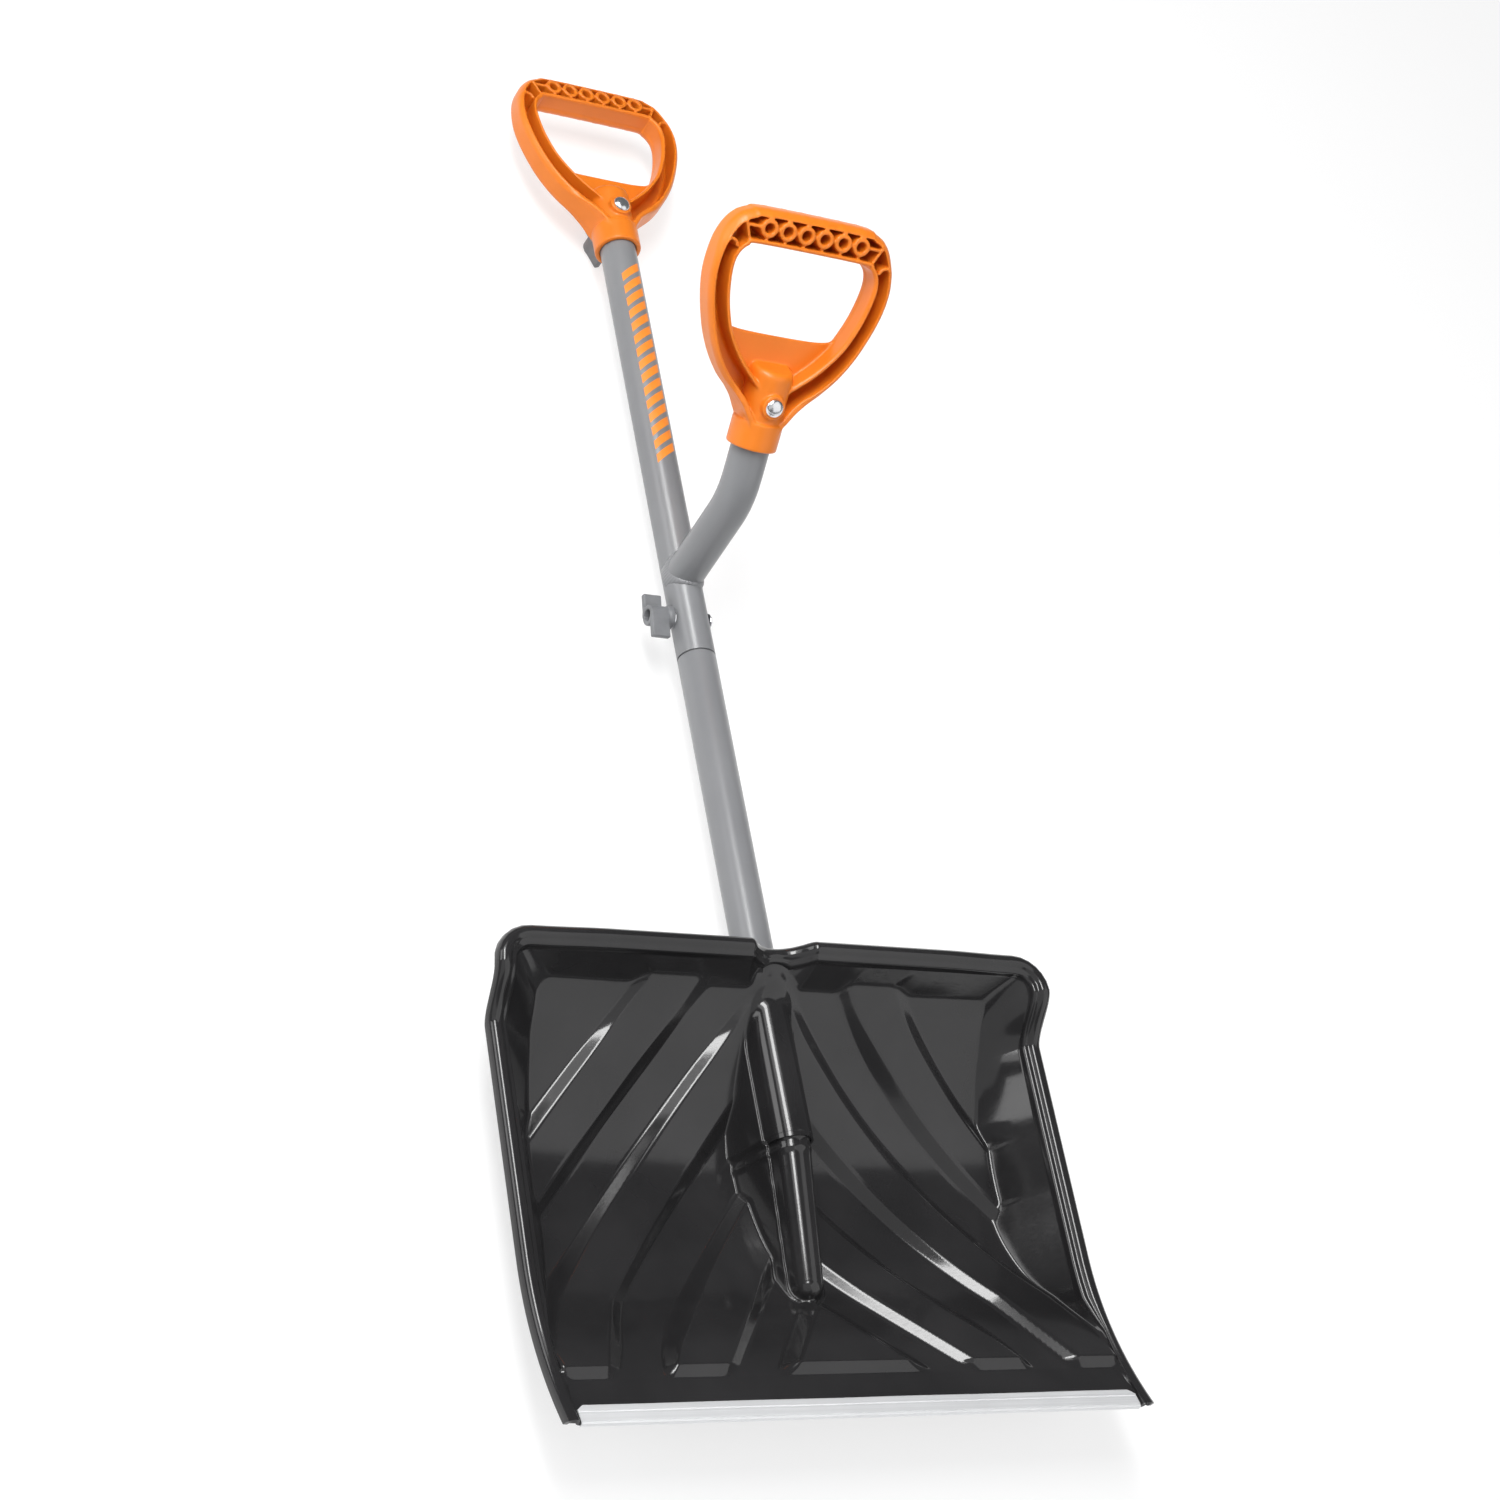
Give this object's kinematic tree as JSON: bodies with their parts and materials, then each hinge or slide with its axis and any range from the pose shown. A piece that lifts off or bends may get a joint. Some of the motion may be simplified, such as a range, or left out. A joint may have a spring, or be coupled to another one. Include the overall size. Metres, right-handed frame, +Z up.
{
  "type": "snow shovel",
  "caption": "Snow shovel with a wide ribbed scoop blade, a straight tube shaft, a D-shaped grip on top and another D-shaped grip on a bent branch tube.",
  "frame": {"origin": "on the ground, under the middle of the shovel's box, with the shovel lying on its back", "axes": "+Y along the shaft from the blade to the top grip, +Z up and out of the blade's open side, +X to the right"},
  "size_m": [0.462, 1.2134, 0.3291],
  "materials": {
    "blade": "gloss black moulded polypropylene",
    "strip": "satin galvanised sheet",
    "tube": "satin grey powder coat",
    "grip": "satin orange moulded plastic",
    "knob": "satin grey moulded plastic",
    "hardware": "bright zinc plate"
  },
  "bodies": {
    "shovel": {"blade": "blade", "wear_strip": "strip", "blade_screw": "hardware", "lower_tube": "tube", "upper_tube": "tube", "aux_tube": "tube", "aux_weld": "tube", "mid_bolt": "hardware", "top_grip": "grip", "top_bolt": "hardware", "aux_grip": "grip", "aux_bolt": "hardware", "aux_washer": "hardware", "aux_nut": "hardware"},
    "mid_washer": {"mid_washer": "hardware"},
    "mid_knob": {"mid_knob": "knob", "mid_knob_insert": "hardware"},
    "top_washer": {"top_washer": "hardware"},
    "top_knob": {"top_knob": "knob", "top_knob_insert": "hardware"}
  },
  "joints": [
    {"name": "mid_knob_travel", "type": "slide", "parent": "shovel", "child": "mid_washer", "axis": [-1, 0, 0], "range_m": [0, 0.0026]},
    {"name": "mid_knob_turn", "type": "hinge", "parent": "mid_washer", "child": "mid_knob", "pos_m": [-0.0275, 0.05163, 0.042], "axis": [-1, 0, 0], "range_deg": [0, 720]},
    {"name": "top_knob_travel", "type": "slide", "parent": "shovel", "child": "top_washer", "axis": [0, 0, -1], "range_m": [0, 0.0026]},
    {"name": "top_knob_turn", "type": "hinge", "parent": "top_washer", "child": "top_knob", "pos_m": [0, 0.46203, 0.01], "axis": [0, 0, -1], "range_deg": [0, 720]}
  ],
  "couplings": [
    {"joint": "mid_knob_travel", "follows": "mid_knob_turn", "m_per_rad": 0.00019894},
    {"joint": "top_knob_travel", "follows": "top_knob_turn", "m_per_rad": 0.00019894}
  ]
}
